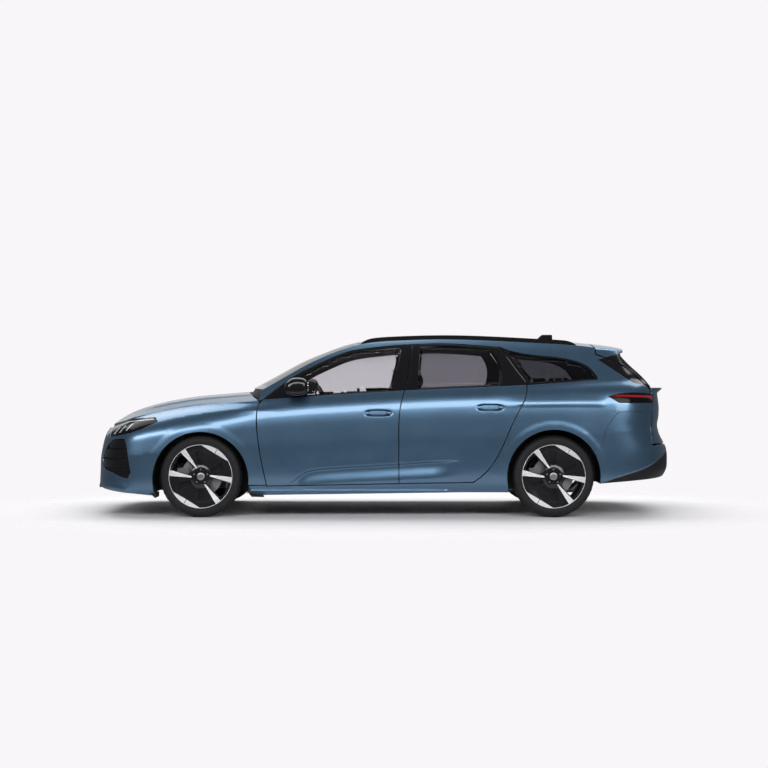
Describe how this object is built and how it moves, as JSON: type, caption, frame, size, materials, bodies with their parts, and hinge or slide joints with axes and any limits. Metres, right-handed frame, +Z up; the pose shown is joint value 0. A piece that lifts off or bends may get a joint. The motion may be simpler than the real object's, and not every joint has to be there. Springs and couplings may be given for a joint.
{
  "type": "station wagon",
  "caption": "Five-door family car with a long roof and load space, opening doors, bonnet and tailgate, steered front wheels and free-turning wheels.",
  "frame": {"origin": "on the ground under the middle of the car", "axes": "X runs from the nose to the tail, Y to the right-hand side, Z up"},
  "size_m": [4.5938, 2.04, 1.4247],
  "materials": {
    "paint": "metallic blue paint under gloss lacquer",
    "glass": "tinted safety glass",
    "black_trim": "gloss black plastic",
    "black_plastic": "grained black plastic",
    "headlamp": "dark lamp unit behind a clear cover",
    "tail_lamp": "red and smoked lamp cover",
    "bare_metal": "dark satin metal",
    "underbody": "dark primer and underseal",
    "wheel_alloy": "machined and gloss black alloy",
    "tyre": "black rubber",
    "seat_cloth": "dark woven cloth",
    "dash": "soft grained dark plastic",
    "exhaust_steel": "dull steel",
    "engine_alloy": "dull cast metal"
  },
  "bodies": {
    "root": {"floor_pan": "underbody", "side_frame_left": "paint", "side_frame_right": "paint", "roof_panel": "paint", "front_wings": "paint", "front_bumper": "paint", "rear_bumper": "paint", "grille": "black_trim", "headlamps": "headlamp", "tail_lamps": "tail_lamp", "windscreen": "glass", "quarter_windows": "glass", "roof_rails": "black_trim", "wheel_arch_liners": "black_plastic", "scuttle_panel": "black_plastic", "dashboard": "dash", "seats": "seat_cloth", "engine": "engine_alloy", "front_subframe": "bare_metal", "rear_axle": "bare_metal", "exhaust": "exhaust_steel"},
    "bonnet": {"bonnet": "paint"},
    "tailgate": {"tailgate": "paint", "tailgate_window": "glass"},
    "steering_wheel": {"steering_wheel": "dash"},
    "front_door_left": {"front_door_left": "paint", "front_door_window_left": "glass", "door_mirror_left": "black_trim"},
    "rear_door_left": {"rear_door_left": "paint", "rear_door_window_left": "glass"},
    "knuckle_left": {"knuckle_left": "bare_metal"},
    "front_wheel_left": {"front_wheel_left": "wheel_alloy", "front_tyre_left": "tyre"},
    "rear_wheel_left": {"rear_wheel_left": "wheel_alloy", "rear_tyre_left": "tyre"},
    "front_door_right": {"front_door_right": "paint", "front_door_window_right": "glass", "door_mirror_right": "black_trim"},
    "rear_door_right": {"rear_door_right": "paint", "rear_door_window_right": "glass"},
    "knuckle_right": {"knuckle_right": "bare_metal"},
    "front_wheel_right": {"front_wheel_right": "wheel_alloy", "front_tyre_right": "tyre"},
    "rear_wheel_right": {"rear_wheel_right": "wheel_alloy", "rear_tyre_right": "tyre"}
  },
  "joints": [
    {"name": "bonnet_hinge", "type": "hinge", "parent": "root", "child": "bonnet", "pos_m": [-0.9435, 0, 0.915], "axis": [0, 1, 0], "range_deg": [0, 50]},
    {"name": "tailgate_hinge", "type": "hinge", "parent": "root", "child": "tailgate", "pos_m": [1.6625, 0, 1.367], "axis": [0, -1, 0], "range_deg": [0, 76]},
    {"name": "front_door_left_hinge", "type": "hinge", "parent": "root", "child": "front_door_left", "pos_m": [-0.981, -0.914, 0.6], "axis": [0, 0, -1], "range_deg": [0, 65]},
    {"name": "rear_door_left_hinge", "type": "hinge", "parent": "root", "child": "rear_door_left", "pos_m": [0.116, -0.914, 0.6], "axis": [0, 0, -1], "range_deg": [0, 65]},
    {"name": "steering_left", "type": "hinge", "parent": "root", "child": "knuckle_left", "pos_m": [-1.4165, -0.735, 0.21], "axis": [0, 0.2592, 0.9658], "range_deg": [-35, 35]},
    {"name": "front_wheel_left_spin", "type": "hinge", "parent": "knuckle_left", "child": "front_wheel_left", "pos_m": [-1.4165, -0.7795, 0.318], "axis": [0, 1, 0], "continuous": true},
    {"name": "rear_wheel_left_spin", "type": "hinge", "parent": "root", "child": "rear_wheel_left", "pos_m": [1.3155, -0.7795, 0.318], "axis": [0, 1, 0], "continuous": true},
    {"name": "front_door_right_hinge", "type": "hinge", "parent": "root", "child": "front_door_right", "pos_m": [-0.981, 0.914, 0.6], "axis": [0, 0, 1], "range_deg": [0, 65]},
    {"name": "rear_door_right_hinge", "type": "hinge", "parent": "root", "child": "rear_door_right", "pos_m": [0.116, 0.914, 0.6], "axis": [0, 0, 1], "range_deg": [0, 65]},
    {"name": "steering_right", "type": "hinge", "parent": "root", "child": "knuckle_right", "pos_m": [-1.4165, 0.735, 0.21], "axis": [0, -0.2592, 0.9658], "range_deg": [-35, 35]},
    {"name": "front_wheel_right_spin", "type": "hinge", "parent": "knuckle_right", "child": "front_wheel_right", "pos_m": [-1.4165, 0.7795, 0.318], "axis": [0, 1, 0], "continuous": true},
    {"name": "rear_wheel_right_spin", "type": "hinge", "parent": "root", "child": "rear_wheel_right", "pos_m": [1.3155, 0.7795, 0.318], "axis": [0, 1, 0], "continuous": true},
    {"name": "steering_wheel_turn", "type": "hinge", "parent": "root", "child": "steering_wheel", "pos_m": [-0.4485, -0.375, 0.84], "axis": [0.9135, 0, 0.4067], "range_deg": [-490, 490]}
  ],
  "couplings": [
    {"joint": "steering_right", "follows": "steering_left", "ratio": 1},
    {"joint": "steering_wheel_turn", "follows": "steering_left", "ratio": 14}
  ]
}
